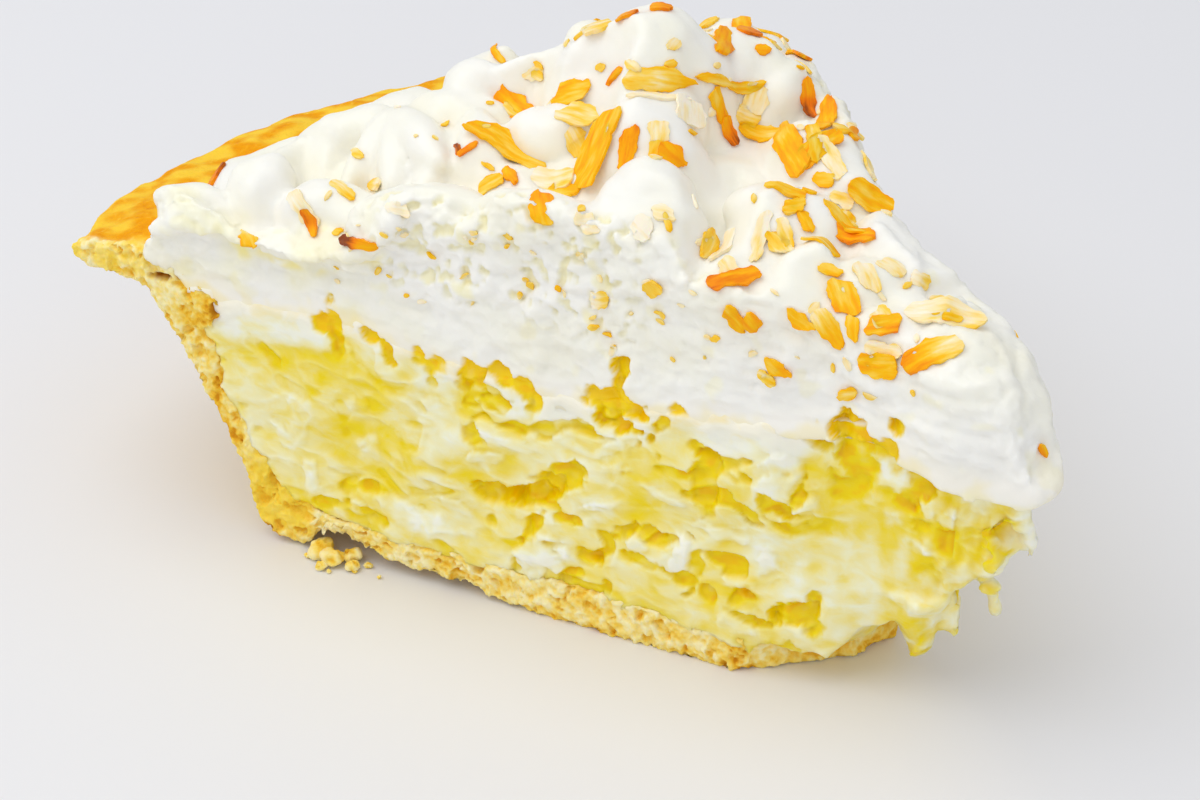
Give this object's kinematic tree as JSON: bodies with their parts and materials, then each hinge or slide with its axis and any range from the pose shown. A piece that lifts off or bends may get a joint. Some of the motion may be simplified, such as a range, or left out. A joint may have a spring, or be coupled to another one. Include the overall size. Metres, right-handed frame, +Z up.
{
  "type": "coconut cream pie slice",
  "caption": "Wedge of coconut cream pie: flared pastry crust, thick coconut custard and peaked whipped cream strewn with toasted coconut.",
  "frame": {"origin": "under the middle of the slice's bounding box, on the plane the crust stands on", "axes": "+Z up; +X from the rim of the crust towards the slice's point; +Y towards the far cut face"},
  "size_m": [0.1332, 0.106, 0.0715],
  "materials": {
    "crust": "dry baked shortcrust pastry, golden at the rim and pale inside",
    "custard": "moist pale yellow coconut custard with a torn, clumpy cut face",
    "cream": "soft white whipped cream with golden toasted coconut"
  },
  "bodies": {
    "root": {"crust": "crust", "custard": "custard", "cream": "cream"}
  },
  "joints": []
}
